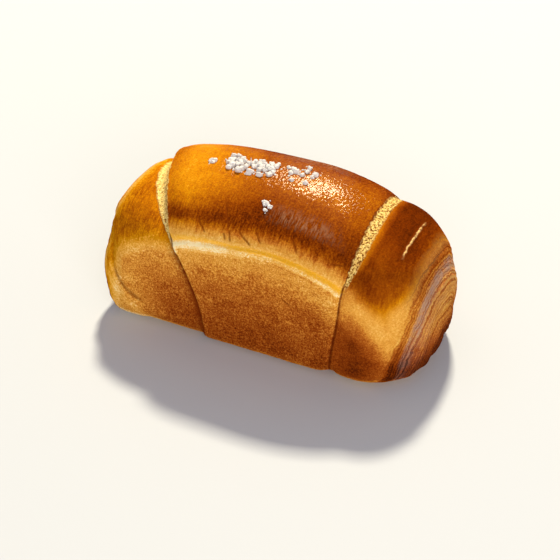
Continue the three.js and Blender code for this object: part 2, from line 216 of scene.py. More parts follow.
# Texture: noises with sizes in millimetres, and how far each moves the browning or an edge.
STREAKS = Sizes(noise=dict(size=2, detail=3, stretch=(1, 9, 9)), middle=5.5, right=2.2,
                rise=[(5, 0), (9, 1), (14, 1), (24, 0)])
RAGGED = Sizes(noise=dict(size=2.4), middle=0.7, left=3.2)
SPECKLE = Sizes(noise=dict(size=0.8, detail=3, roughness=0.75), contrast=[(0.36, 0), (0.64, 1)],
                wall=0.42, crown=0.2)
FIBRES = Sizes(noise=dict(size=0.9, detail=3, stretch=(1, 5, 5), roughness=0.6),
               contrast=[(0.34, 0), (0.66, 1)], rise=[(3, 0.08), (7, 0.2), (16, 0.2), (26, 0.09)])
BLOTCHES = Sizes(noise=dict(size=2.2, detail=3, roughness=0.65), wall=0.32, crown=0.16)
SMEARS = Sizes(noise=dict(size=5, detail=3, stretch=(2.6, 1, 1)), by=0.24)
MOTTLE = Sizes(noise=dict(size=8, detail=3), by=0.18)
TEXTURE = Sizes(crown_from=[(2, 0), (7, 1)], by_toast=[(0.05, 0.35), (0.2, 0.6), (0.36, 1)], on_right=0.6)
LAYER_WAVES = Sizes(noise=dict(size=6, detail=3), by=0.05)
LAYER_RIPPLES = Sizes(noise=dict(size=1.7), by=0.025)
LAYER_LINES = Sizes(count=46, contrast=[(0.34, 0), (0.48, 0.6), (0.66, 1)])
FOLD_LINES = Sizes(count=0.55, by=0.6, paler=-0.1)
PIT_NOISE = dict(size=1, roughness=0.6)
PIT_SHIFTS = [dict(by=-0.02, on=["on_right"]), dict(by=0.06, on=["on_left"])]
CRUMB_EDGE = Sizes(noise=dict(size=2.6), by=0.3)
BROKEN = Sizes(noise=dict(size=2.2), contrast=[(0.38, 0.15), (0.58, 1)])
UNEVEN = Sizes(noise=dict(size=3), contrast=[(0.3, 0.7), (0.6, 1)])
GREY_NOISE = dict(size=4)

# Colours: sRGB of 0 to 255, along the browning or in patches of their own.
WALL_COLOURS = [(0, (255, 236, 190)), (0.1, (246, 200, 116)), (0.2, (232, 172, 78)), (0.3, (221, 155, 63)),
                (0.4, (206, 134, 50)), (0.5, (186, 108, 38)), (0.6, (166, 87, 26)), (0.7, (146, 68, 16)),
                (0.85, (118, 48, 8)), (1, (70, 26, 6))]
CROWN_COLOURS = [(0, (253, 212, 124)), (0.1, (250, 196, 88)), (0.2, (236, 170, 62)), (0.3, (214, 147, 20)),
                 (0.4, (203, 131, 10)), (0.5, (188, 112, 9)), (0.6, (167, 93, 9)), (0.7, (146, 72, 7)),
                 (0.85, (115, 47, 4)), (1, (78, 28, 3))]
# Where the crown's colours take over from the wall's, and how much lower they do on the outer wraps.
GLAZED_RISE = [(8.2, 0), (12.8, 1)]
GLAZED_SHIFTS = [dict(by=6.6, on=["on_left"]), dict(by=4.6, on=["on_right"])]
CRUMB_COLOURS = [(0.35, (104, 56, 18)), (0.43, (188, 142, 76)), (0.52, (234, 200, 118)),
                 (0.68, (254, 230, 158))]
YELLOW_SHIFT = dict(by=-1, from_left=[(20, 2.2), (34, 0)])
LAYER_TINTS = [
    # The yellow line above the lip, the grey layer of the ends and the dull top of their rim.
    dict(colour=(253, 185, 25), on=["middle"], line_rise=[(1.2, 0), (2.1, 1), (3.2, 1), (4.4, 0)],
         from_left=[(20, 0.45), (36, 0.75)]),
    dict(colour=(172, 143, 131), on=["end_face"], z=[(10, 0.2), (30, 1)],
         warped_level=[(0.5, 0.1), (0.66, 0.28), (0.77, 0.3), (0.82, 1), (0.87, 1), (0.91, 0)],
         end_lines=[(0.2, 0.35), (0.8, 0.85)], grey_noise=[(0.32, 0.45), (0.6, 1)]),
    dict(colour=(128, 92, 52), on=["on_right"], warped_level=[(0.96, 0), (0.99, 1), (1.03, 1), (1.08, 0)],
         z=[(44, 0), (56, 0.65)], end_lines=[(0.2, 1), (0.8, 0.5)]),
]
CRUMB_RISE = [(CRUMB.start, 0), (CRUMB.full, 1)]
CRUMB_PATCHES = [
    dict(left_edge=[(-0.04, 0), (0.02, 1), (1.02, 1), (1.15, 0)], rise=CRUMB_RISE),
    dict(right_edge=[(0.04, 0), (0.14, 1), (0.9, 1), (1.1, 0)], rise=CRUMB_RISE),
]
FOLD_RISE = [(4, 1), (7, 0)]
FOLD_COLOUR = (104, 38, 6)
FOLD_AND_SHADE_TINTS = [
    # The edge where the right crease tore away, the folds of the walls, the left one a dark line with
    # painted shade spreading along its left side, and the fold on the left corner.
    dict(colour=FOLD_COLOUR, by=0.85, on=["broken"], rise=CRUMB_RISE,
         right_edge=[(-0.06, 0), (0.02, 1), (0.12, 0.9), (0.22, 0)]),
    dict(colour=FOLD_COLOUR, on=["uneven"], rise=FOLD_RISE,
         from_left=[(-6, 0), (-2.4, 0.35), (-1, 0.85), (-0.4, 1), (0.4, 1), (0.9, 0)]),
    dict(colour=FOLD_COLOUR, on=["uneven"], rise=FOLD_RISE,
         from_right=[(-0.6, 0), (-0.2, 0.9), (0.2, 1), (0.7, 0)]),
    dict(colour=FOLD_COLOUR, on=["uneven", "fold_shown"], rise=FOLD_RISE,
         fold_gap=[(-2.5, 0), (-0.6, 0.5), (0, 0.7), (1, 0)]),
]
LINE_TINTS = [
    # Wrinkles and the tear, the tear's light edge, and a painted reflection, a dull greyish sheen, over part
    # of the dark band.
    dict(colour=(116, 48, 7), by=0.85, on=["lines"]),
    dict(colour=(246, 208, 138), on=["light_edge", "broken"]),
    dict(colour=(168, 118, 86), from_left=[(50, 0), (62, 1), (80, 1), (92, 0)],
         rise=[(16, 0), (20, 1), (23, 1), (28, 0)], fibres=[(0.3, 0), (0.9, 0.6)]),
]

# Gloss: bumps in millimetres, and an egg glaze on the crown.
CRINKLES = dict(by=0.36, on=["crinkle_noise", "crown"])
CRINKLE_NOISE = dict(size=1.2, detail=1, stretch=(1, 2, 2))
BUMPS = [
    dict(by=0.08, on=["fibres", "crown"]),
    dict(by=0.2, on=["speckle", "off_crown"]),
    dict(by=0.35, on=["end_lines", "end_face"]),
    dict(by=1, on=["pits", "crumb"]),
    dict(by=-0.12, on=["lines"]),
]
GLAZE = Sizes(left=0.03, middle=0.45, right=0.06, roughness=0.1, patch=dict(
    on=["off_crumb"], rise=[(14, 0), (24, 0.15), (34, 1)],
    from_left=[(20, 0.15), (48, 0.25), (64, 0.9), (88, 1), (97, 0.15)]))
CRUST_BODY = Sizes(roughness=0.7, subsurface=0.08, depth=1.5, radius=(1.0, 0.45, 0.2))
SALT_COLOURS = [(0.3, (208, 205, 209)), (0.7, (234, 233, 238))]
SALT_BODY = Sizes(noise=dict(size=0.7, detail=3), bump=0.25, roughness=0.42, subsurface=0.25, depth=1,
                  radius=(1.0, 1.0, 1.0))

# Studio: a soft key light from behind, one for the glaze alone and a low fill at the front, in metres.
KEY = Sizes(direction=(-0.17, 0.6, 0.78), distance=3, size=0.3, power=135, colour=(255, 242, 206))
GLINT = Sizes(direction=(-0.22, 0.74, 0.63), distance=3, size=0.6, power=50, colour=(255, 240, 200))
FILL = Sizes(direction=(0.55, -0.8, 0.25), distance=1.5, size=1.2, power=20, colour=(255, 246, 231))
WORLD = Sizes(colour=(247, 242, 239), strength=0.38)

# Floor: a plain pale sheet.
FLOOR = Sizes(half=4000, drop=0.3, colour=(200, 206, 221), roughness=0.9, specular=0.1)

# Camera: the photograph's view of the loaf.
CAMERA = Sizes(eye=(232.09, -463.0, 407.67), target=(-0.34, -0.94, 20.72), angle=24.157, roll=-1.30)


def ramp(t):
    t = np.clip(t, 0, 1)
    return t * t * (3 - 2 * t)


def ease_out(t):
    return 1 - (1 - np.clip(t, 0, 1)) ** 2


def bell(distance, width):
    return np.exp(-((distance / width) ** 2))


def lerp(a, b, t):
    return a + (b - a) * t


def share(value, start, full):
    return ramp((value - start) / (full - start))


def smooth_max(a, b, blend):
    weight = np.clip(0.5 + 0.5 * (a - b) / blend, 0, 1)
    return b + (a - b) * weight + blend * weight * (1 - weight)


def crease_x(crease, angle):
    first = crease.sin1 * np.sin(angle) + crease.cos1 * np.cos(angle)
    second = crease.sin2 * np.sin(2 * angle) + crease.cos2 * np.cos(2 * angle)
    return crease.x + first + second


def angle_at(y, z):
    """The angle round the axis: 0 at the front, a quarter turn at the top."""
    return np.arctan2(z - AXIS.z, -y)


def band_width(band, z):
    return lerp(band.at_wall, band.at_crown, share(z, band.start, band.full))


def tin_distance(x, y, z, base_radius):
    """Distance outside the tin's inner face, negative inside."""
    reach, corner_radius, end_crown, end_belly = (
        np.where(x < 0, left, right)
        for left, right in zip(vars(LEFT_END).values(), vars(RIGHT_END).values())
    )
    lean = TIN.taper * (z - TIN.sized_at)
    half_width = TIN.width / 2
    crown = end_crown * (y / half_width) ** 2
    belly = end_belly * ((z - TIN.belly_height) / TIN.belly_height) ** 2
    out_x = np.abs(x) - (reach + lean - crown - belly - corner_radius)
    out_y = np.abs(y) - (half_width + lean - corner_radius)
    corner = np.hypot(np.maximum(out_x, 0), np.maximum(out_y, 0))
    plan = corner + np.minimum(np.maximum(out_x, out_y), 0) - corner_radius
    out_side = plan + base_radius
    out_base = base_radius - z
    edge = np.hypot(np.maximum(out_side, 0), np.maximum(out_base, 0))
    return edge + np.minimum(np.maximum(out_side, out_base), 0) - base_radius


def base_radius_at(from_left, from_right):
    left = (BASE_RADIUS.left - BASE_RADIUS.middle) * ramp(-from_left / BASE_RADIUS.blend)
    right = (BASE_RADIUS.right - BASE_RADIUS.middle) * ramp(from_right / BASE_RADIUS.blend)
    notch = BASE_NOTCH.radius * bell(from_right, BASE_NOTCH.reach)
    return BASE_RADIUS.middle + left + right + notch


def dough_distance(x, y, z):
    """Distance outside the risen dough, negative inside."""
    from_centre = x - DOUGH.centre_x
    reach = np.where(from_centre < 0, DOUGH.reach_left, DOUGH.reach_right)
    power = np.where(from_centre < 0, DOUGH.power_left, DOUGH.power_right)
    across = (np.abs(y) / DOUGH.half_width) ** DOUGH.section_power
    up = (np.maximum(z - DOUGH.rise_from, 0) / DOUGH.rise) ** DOUGH.section_power
    section = (across + up) ** (power / DOUGH.section_power)
    along = (np.abs(from_centre) / reach) ** power
    return ((along + section) ** (1 / power) - 1) * DOUGH.half_width


def crown_cut(from_left, from_right, z):
    """How far the crown is cut back beside the two creases."""
    left_band = band_width(LEFT_BAND, z)
    right_band = band_width(RIGHT_BAND, z)
    tuck = share(z, LEFT_DROP.start, LEFT_DROP.full) * np.exp(np.minimum(from_left, 0) / LEFT_DROP.reach)
    step = (LEFT_DROP.everywhere + LEFT_DROP.at_crease * tuck) * ease_out(-from_left / left_band)
    groove_floor = ramp(from_right / RIGHT_GROOVE.ledge) * ramp(1 - from_right / right_band)
    shoulders = bell(from_left, SHOULDER.reach) + bell(from_right - right_band / 2, SHOULDER.reach)
    return step + RIGHT_GROOVE.depth * groove_floor + SHOULDER.depth * shoulders


def outer_cut(x, z, from_right):
    """How far the crown is tucked in at the left end, less how far the outer wraps swell."""
    tuck = LEFT_TUCK.depth * bell(z - LEFT_TUCK.z, LEFT_TUCK.reach)
    left_swell = LEFT_SWELL.height * share(z, LEFT_SWELL.start, LEFT_SWELL.full)
    right_swell = RIGHT_SWELL.height * bell(from_right - RIGHT_SWELL.at, RIGHT_SWELL.reach)
    on_left = share(-x, LEFT_TUCK.start, LEFT_TUCK.full)
    return (tuck - left_swell) * on_left - right_swell * share(z, RIGHT_SWELL.start, RIGHT_SWELL.full)


def wall_cut(from_left, from_right):
    """How far the walls are cut back along the folds."""
    inset = LEFT_WALL_INSET * ramp(-from_left / LEFT_BAND.at_wall)
    folds = bell(from_left, FOLD.half_width) + bell(from_right, FOLD.half_width)
    return inset + FOLD.depth * folds


def dough_and_tin(x, y, z):
    """Distances outside the creased dough and the folded tin walls."""
    angle = angle_at(y, z)
    from_left = x - crease_x(LEFT_CREASE, angle)
    from_right = x - crease_x(RIGHT_CREASE, angle)
    off_base = ramp(z / BASE_RADIUS.middle)
    dough = dough_distance(x, y, z) + crown_cut(from_left, from_right, z) + outer_cut(x, z, from_right)
    box = tin_distance(x, y, z, base_radius_at(from_left, from_right))
    return dough, box + wall_cut(from_left, from_right) * off_base


def loaf_distance(points):
    """Distance outside the loaf: the dough held in by the tin."""
    x, y, z = np.moveaxis(points, -1, 0)
    dough, tin = dough_and_tin(x, y, z)
    end_share = share(np.abs(x), BREAK_BLEND.end_from, BREAK_BLEND.end_full)
    return smooth_max(dough, tin, lerp(BREAK_BLEND.at_wall, BREAK_BLEND.at_end, end_share))


def cast_rays(origins, directions):
    """Where rays from inside the loaf leave it."""
    near = np.zeros(origins.shape[:-1])
    far = np.full(origins.shape[:-1], float(RAY_LENGTH))
    for _ in range(RAY_STEPS):
        middle = (near + far) / 2
        inside = loaf_distance(origins + directions * middle[..., None]) < 0
        near = np.where(inside, middle, near)
        far = np.where(inside, far, middle)
    return origins + directions * near[..., None]


def outward_normals(points):
    """The loaf's outward directions, from the slope of its distance."""
    slopes = []
    for axis in np.eye(3) * SLOPE_STEP:
        slopes.append(loaf_distance(points + axis) - loaf_distance(points - axis))
    slopes = np.stack(slopes, -1)
    return slopes / np.linalg.norm(slopes, axis=-1, keepdims=True)


def sideways(angle):
    return np.stack([np.zeros_like(angle), -np.cos(angle), np.sin(angle)], -1)


def row_angles():
    """The rows' angles, once round from the middle of the base, closer together along the break line."""
    angles = np.linspace(ROW_DENSITY[0][0], ROW_DENSITY[-1][0], ROW_SAMPLES)
    density = np.interp(angles, *zip(*ROW_DENSITY))
    reached = np.concatenate([[0], np.cumsum((density[1:] + density[:-1]) / 2)])
    even = np.linspace(0, reached[-1], ROWS + 1)[:-1]
    return np.radians(np.interp(even, reached, angles))


def body_columns(angles):
    """Places along the axis, one row of the result for each column, that follow both creases."""
    left = crease_x(LEFT_CREASE, angles)
    right = crease_x(RIGHT_CREASE, angles)
    ends = np.full_like(angles, AXIS.half)
    knots = [
        (-ends, 0),
        (left - LEFT_BAND.at_crown - CREASE_MARGIN / 2, COLUMNS.outer),
        (left, COLUMNS.band),
        (left + CREASE_MARGIN, COLUMNS.edge),
        (right - CREASE_MARGIN, COLUMNS.middle),
        (right, COLUMNS.edge),
        (right + RIGHT_BAND.at_crown + CREASE_MARGIN / 2, COLUMNS.band),
        (ends, COLUMNS.outer),
    ]
    places = [knots[0][0]]
    for (start, _), (end, count) in zip(knots, knots[1:]):
        for step in range(1, count + 1):
            places.append(lerp(start, end, step / count))
    return np.array(places)


def fan_tilts():
    """How far the rays past the body lean towards an end, up to just short of the pole."""
    shoulder = np.linspace(0, FAN.rim, COLUMNS.shoulder + 1)[1:]
    rim = np.linspace(FAN.rim, FAN.core, COLUMNS.rim + 1)[1:]
    core = np.linspace(FAN.core, 1, COLUMNS.core + 1)[1:-1]
    return np.concatenate([shoulder, rim, core])


def press_end_layers(points):
    """Moves the points of the ends onto ridges along arches inside one another."""
    level = end_level(points)
    off_base = ramp(points[..., 2] / BASE_RADIUS.middle)
    on_end = share(np.abs(points[..., 0]), END_LAYERS.start, END_LAYERS.full) * off_base
    ridge = np.cos((1 - np.minimum(level, 1)) * END_LAYERS.count * 2 * np.pi)
    points[..., 0] += np.sign(points[..., 0]) * END_LAYERS.relief * (ridge - 1) * on_end


def end_level(points):
    """Which arch of an end a point is on: 1 at the outer lip and 0 at the middle of the base."""
    across = (np.abs(points[..., 1]) / END_LAYERS.half_width) ** END_LAYERS.power
    up = (np.maximum(points[..., 2], 0) / END_LAYERS.height) ** END_LAYERS.power
    return (across + up) ** (1 / END_LAYERS.power)


def surface_grid():
    """The bare loaf's points, by column from the left end and by row round the axis, and its two poles."""
    angles = row_angles()
    body = body_columns(angles)
    tilts = fan_tilts()
    left_end = np.full((len(tilts), ROWS), -float(AXIS.half))
    along = np.concatenate([left_end, body, -left_end])
    tilt = np.concatenate([tilts[::-1], np.zeros(len(body)), tilts])
    side = np.concatenate([-np.ones(len(tilts)), np.zeros(len(body)), np.ones(len(tilts))])
    origins = np.zeros(along.shape + (3,))
    origins[..., 0] = along
    origins[..., 2] = AXIS.z
    directions = sideways(angles)[None] * (FAN.radius * (1 - tilt))[:, None, None]
    directions[..., 0] = (FAN.reach * tilt * side)[:, None]
    directions /= np.linalg.norm(directions, axis=-1, keepdims=True)
    points = cast_rays(origins, directions)
    pole_origins = np.array([[-AXIS.half, 0, AXIS.z], [AXIS.half, 0, AXIS.z]], float)
    poles = cast_rays(pole_origins, np.array([[-1.0, 0, 0], [1.0, 0, 0]]))
    return points, poles


def grid_faces(columns):
    """Faces of the grid and its two poles, with the poles numbered last."""
    rows = np.arange(ROWS)
    after = (rows + 1) % ROWS
    last = (columns - 1) * ROWS
    left_pole = columns * ROWS
    starts = np.arange(0, last, ROWS)[:, None]
    quads = np.stack([starts + rows, starts + ROWS + rows, starts + ROWS + after, starts + after], -1)
    left = np.stack([np.full(ROWS, left_pole), rows, after], -1)
    right = np.stack([np.full(ROWS, left_pole + 1), last + after, last + rows], -1)
    return quads.reshape(-1, 4).tolist() + left.tolist() + right.tolist()


def break_rise(points, lead):
    """Signed distance of grid points from the break line, where the dough's lead on the tin changes sign."""
    crossings = []
    for axis in (0, 1):
        last = points.shape[axis] - 1
        near, far = points.take(range(last), axis), points.take(range(1, last + 1), axis)
        near_lead, far_lead = lead.take(range(last), axis), lead.take(range(1, last + 1), axis)
        changed = near_lead * far_lead < 0
        part = (near_lead / (near_lead - far_lead))[changed]
        crossings.append(lerp(near[changed], far[changed], part[:, None]))
    crossings = np.concatenate(crossings)
    tree = KDTree(len(crossings))
    for index, place in enumerate(crossings):
        tree.insert(place, index)
    tree.balance()
    flat = points.reshape(-1, 3)
    nearest = np.array([[found[1] for found in tree.find_n(place, NEAR_CROSSINGS)] for place in flat])
    start = crossings[nearest[:, 0]]
    chords = crossings[nearest[:, 1:]] - start[:, None]
    longest = np.linalg.norm(chords, axis=-1).argmax(1)
    chord = chords[np.arange(len(flat)), longest]
    chord /= np.linalg.norm(chord, axis=-1, keepdims=True)
    away = flat - start
    straight = np.linalg.norm(away - (away * chord).sum(-1, keepdims=True) * chord, axis=-1)
    direct = np.linalg.norm(away, axis=-1)
    gaps = np.where(direct < NEAR_BREAK, straight, direct)
    return gaps.reshape(lead.shape) * np.sign(lead)


def perlin(points, size):
    """Smooth noise from -1 to 1, with features of the given size."""
    flat = (points / size).reshape(-1, 3)
    return np.array([noise.noise(place) for place in flat]).reshape(points.shape[:-1])


def features(points):
    """What the crust's relief and colours follow, for every point of the grid."""
    x, y, z = np.moveaxis(points, -1, 0)
    angle = angle_at(y, z)
    dough, tin = dough_and_tin(x, y, z)
    from_left = x - crease_x(LEFT_CREASE, angle)
    from_right = x - crease_x(RIGHT_CREASE, angle)
    on_end = share(np.abs(x), END_LAYERS.start, END_LAYERS.full)
    high_end = share(np.abs(x), HIGH_END.start, HIGH_END.full) * share(z, HIGH_END.low, HIGH_END.high)
    shift = np.interp(x, *zip(*BREAK_SHIFT)) * (1 - high_end)
    rise = break_rise(points, dough - tin) + shift
    found = Sizes(
        x=x,
        angle=np.degrees(angle) % 360,
        rise=rise * lerp(1, HIGH_END.narrowing, high_end * (rise > 0)),
        from_left=from_left,
        from_right=from_right,
        left_gap=-from_left / band_width(LEFT_BAND, z),
        right_gap=from_right / band_width(RIGHT_BAND, z),
        level=end_level(points),
        layer=end_level(points) + LAYER_SLANT * (np.arctan2(z, -y) / np.pi - 0.5),
        on_end=on_end,
    )
    left_crumb = crumb_share(found.left_gap, found.rise)
    found.crumb = np.maximum(left_crumb, crumb_share(found.right_gap, found.rise))
    found.fold_gap, found.fold_shown = end_fold_gap(points)
    return found


def crumb_share(gap, rise):
    """How far a point is in a torn band: 0 outside and 1 inside."""
    across = ramp(gap / CRUMB.edge) * ramp((1 - gap) / CRUMB.edge)
    return across * share(rise, CRUMB.start, CRUMB.full)


def pits(points, mask, size):
    """Round pits in the masked points, from 0 between them to 1 in their middles."""
    depth = np.zeros(mask.shape)
    for index in np.argwhere(mask > 0):
        distances, _ = noise.voronoi(points[tuple(index)] / size)
        depth[tuple(index)] = max(0.0, 1 - 2 * distances[0])
    return depth


def line_depth(found):
    """How deep the wrinkles and the tear are, less the height of the tear's edge."""
    deepest = np.zeros(found.x.shape)
    place = np.stack([found.x, found.angle * ARC_LENGTH], -1)
    for start, end, full_depth in WRINKLES + [TEAR, TEAR_EDGE]:
        start = np.array(start) * (1, ARC_LENGTH)
        run = np.array(end) * (1, ARC_LENGTH) - start
        along = np.clip(((place - start) @ run) / (run @ run), 0, 1)
        away = np.linalg.norm(place - start - along[..., None] * run, axis=-1)
        depth = full_depth * bell(away, LINE.relief_width)
        deepest = np.where(np.abs(depth) > np.abs(deepest), depth, deepest)
    return deepest


def end_fold_gap(points):
    """Signed distance from the fold on the left front corner, positive outside, and how far it shows."""
    x, y, z = np.moveaxis(points, -1, 0)
    gap = np.hypot(x - END_FOLD.x, np.minimum(z - END_FOLD.z, 0)) - END_FOLD.radius
    gap -= END_FOLD.lean * np.maximum(z - END_FOLD.z, 0)
    shown = share(x, END_FOLD.start, END_FOLD.full) * (y < 0) * share(z, END_FOLD.high, END_FOLD.low)
    return gap, shown


def relief(found, points):
    """How far the crust stands out of the bare loaf."""
    crown = ramp(found.rise / SWELL.crown_from)
    between = (found.left_gap < 0) & (found.right_gap < 0)
    side = lerp(LIP.on_outer, 1, between) * (1 - found.on_end)
    lip = LIP.height * bell(found.rise - LIP.at, LIP.width) * side
    groove = LIP_GROOVE.depth * bell(found.rise - LIP_GROOVE.at, LIP_GROOVE.width) * side
    wall_swell = SWELL.wall * perlin(points, SWELL.wall_size)
    swell = lerp(wall_swell, SWELL.crown * perlin(points, SWELL.crown_size), crown)
    blistered = share(found.rise, BLISTERS.start, BLISTERS.full)
    blisters = BLISTERS.height * perlin(points, BLISTERS.size) * blistered
    crumb = found.crumb * CRUMB.depth * pits(points, found.crumb, CRUMB.pit_size)
    warp = FINE_LAYERS.warp * perlin(points, FINE_LAYERS.warp_size)
    on_face = found.on_end * (found.level < 1)
    layers = FINE_LAYERS.relief * np.cos((found.layer + warp) * FINE_LAYERS.count * 2 * np.pi) * on_face
    fold = END_FOLD.swell * ramp(found.fold_gap) - END_FOLD.depth * bell(found.fold_gap, END_FOLD.width)
    rim = LEFT_RIM.height * bell(found.rise - LEFT_RIM.at, LEFT_RIM.width)
    rim *= share(-found.x, LEFT_RIM.start, LEFT_RIM.full)
    raised = lip + swell + blisters + layers + rim + fold * found.fold_shown
    sunk = groove + crumb + line_depth(found)
    return (raised - sunk) * ramp(points[..., 2] / RELIEF_FROM)


def add_object(name, data):
    added = bpy.data.objects.new(name, data)
    bpy.context.scene.collection.objects.link(added)
    return added


def make_mesh(name, points, faces):
    mesh = bpy.data.meshes.new(name)
    mesh.from_pydata((points * MM).tolist(), [], faces)
    mesh.shade_smooth()
    return add_object(name, mesh)


# The features that the crust's colours follow, kept on the mesh.
SHADER_FEATURES = ("rise", "from_left", "from_right", "left_gap", "right_gap", "level", "layer", "fold_gap",
                   "fold_shown")


def make_loaf():
    points, poles = surface_grid()
    press_end_layers(points)
    press_end_layers(poles)
    found = features(points)
    points += outward_normals(points) * relief(found, points)[..., None]
    points[..., 2] = np.maximum(points[..., 2], 0)
    piece = make_mesh("loaf_crust", np.concatenate([points.reshape(-1, 3), poles]), grid_faces(len(points)))
    for name in SHADER_FEATURES:
        values = getattr(found, name)
        at_poles = [values[0].mean(), values[-1].mean()]
        attribute = piece.data.attributes.new(name, "FLOAT", "POINT")
        attribute.data.foreach_set("value", np.concatenate([values.ravel(), at_poles]).astype(np.float32))
    return piece


def make_random(seed):
    """The solid's own random numbers, so that its grains come out in the same places."""
    state = seed
    while True:
        state = (state * RANDOM.factor + RANDOM.step) % RANDOM.span
        yield state / RANDOM.span


def salt_places():
    """Every grain of the solid: its middle, its half sizes and its two turns."""
    random = make_random(SALT_SEED)
    grains = []
    places = []
    for patch in SALT_PATCHES:
        for n in range(patch.grains):
            size = patch.size * lerp(GRAIN.largest, GRAIN.smallest, n / patch.grains)
            for _ in range(GRAIN_TRIES):
                along = 2 * (((n + next(random)) * GOLDEN_RATIO) % 1) - 1
                across = next(random) + next(random) - 1
                arc = across * patch.half_width / CROWN_RADIUS
                outward = sideways(np.array(math.radians(patch.angle) + arc))
                origin = np.array([patch.x + along * patch.half_length, 0, AXIS.z])
                place = cast_rays(origin, outward)
                if all(np.linalg.norm(other - place) > size * GRAIN.spacing for other in places):
                    places.append(place)
                    sides = [size * lerp(GRAIN.flattest, 1, next(random)) for _ in range(3)]
                    turn_z, turn_x = next(random) * math.pi, next(random) * math.pi
                    grains.append((place + outward * size * GRAIN.sunk, sides, turn_z, turn_x))
                    break
    return grains


def crystal(detail):
    """Corners and faces of a ball, pushed out towards a block."""
    ball = bmesh.new()
    bmesh.ops.create_icosphere(ball, subdivisions=detail, radius=1)
    corners = np.array([corner.co for corner in ball.verts])
    faces = np.array([[corner.index for corner in face.verts] for face in ball.faces])
    ball.free()
    longest = np.abs(corners).max(1, keepdims=True)
    return corners * (1 + GRAIN.squareness * (1 / longest - 1)), faces


def fine_places(grains):
    """Small grains on the crust around the solid's own."""
    random = make_random(SALT_SEED + 1)
    fine = []
    for middle, sides, _, _ in grains:
        reach = FINE_GRAINS.spread * max(sides)
        for _ in range(FINE_GRAINS.each):
            x = middle[0] + reach * (2 * next(random) - 1)
            angle = angle_at(middle[1], middle[2]) + reach * (2 * next(random) - 1) / CROWN_RADIUS
            size = lerp(FINE_GRAINS.smallest, FINE_GRAINS.largest, next(random))
            fine.append((x, angle, size, next(random) * math.pi, next(random) * math.pi))
    x, angle, size, turn_z, turn_x = np.array(fine).T
    places = cast_rays(np.stack([x, 0 * x, 0 * x + AXIS.z], -1), sideways(angle))
    return [(place, [s] * 3, a, b) for place, s, a, b in zip(places, size, turn_z, turn_x)]


def make_salt():
    all_points = []
    all_faces = []
    count = 0
    coarse = salt_places()
    for grains, detail in ((coarse, GRAIN_DETAIL), (fine_places(coarse), GRAIN_DETAIL - 1)):
        corners, faces = crystal(detail)
        for middle, sides, turn_z, turn_x in grains:
            lumps = 1 + GRAIN_LUMPS.height * perlin(corners + middle, GRAIN_LUMPS.size)
            turn = np.array(Matrix.Rotation(turn_x, 3, "X") @ Matrix.Rotation(turn_z, 3, "Z"))
            all_points.append((corners * lumps[:, None] * sides) @ turn.T + middle)
            all_faces.append(faces + count)
            count += len(corners)
    faces = np.concatenate(all_faces).tolist()
    return make_mesh("salt_grains", np.concatenate(all_points), faces)


def linear(colour):
    """An sRGB colour of 0 to 255 as the linear one that shaders take."""
    values = np.array(colour) / 255
    return tuple(np.where(values <= 0.04045, values / 12.92, ((values + 0.055) / 1.055) ** 2.4)) + (1.0,)


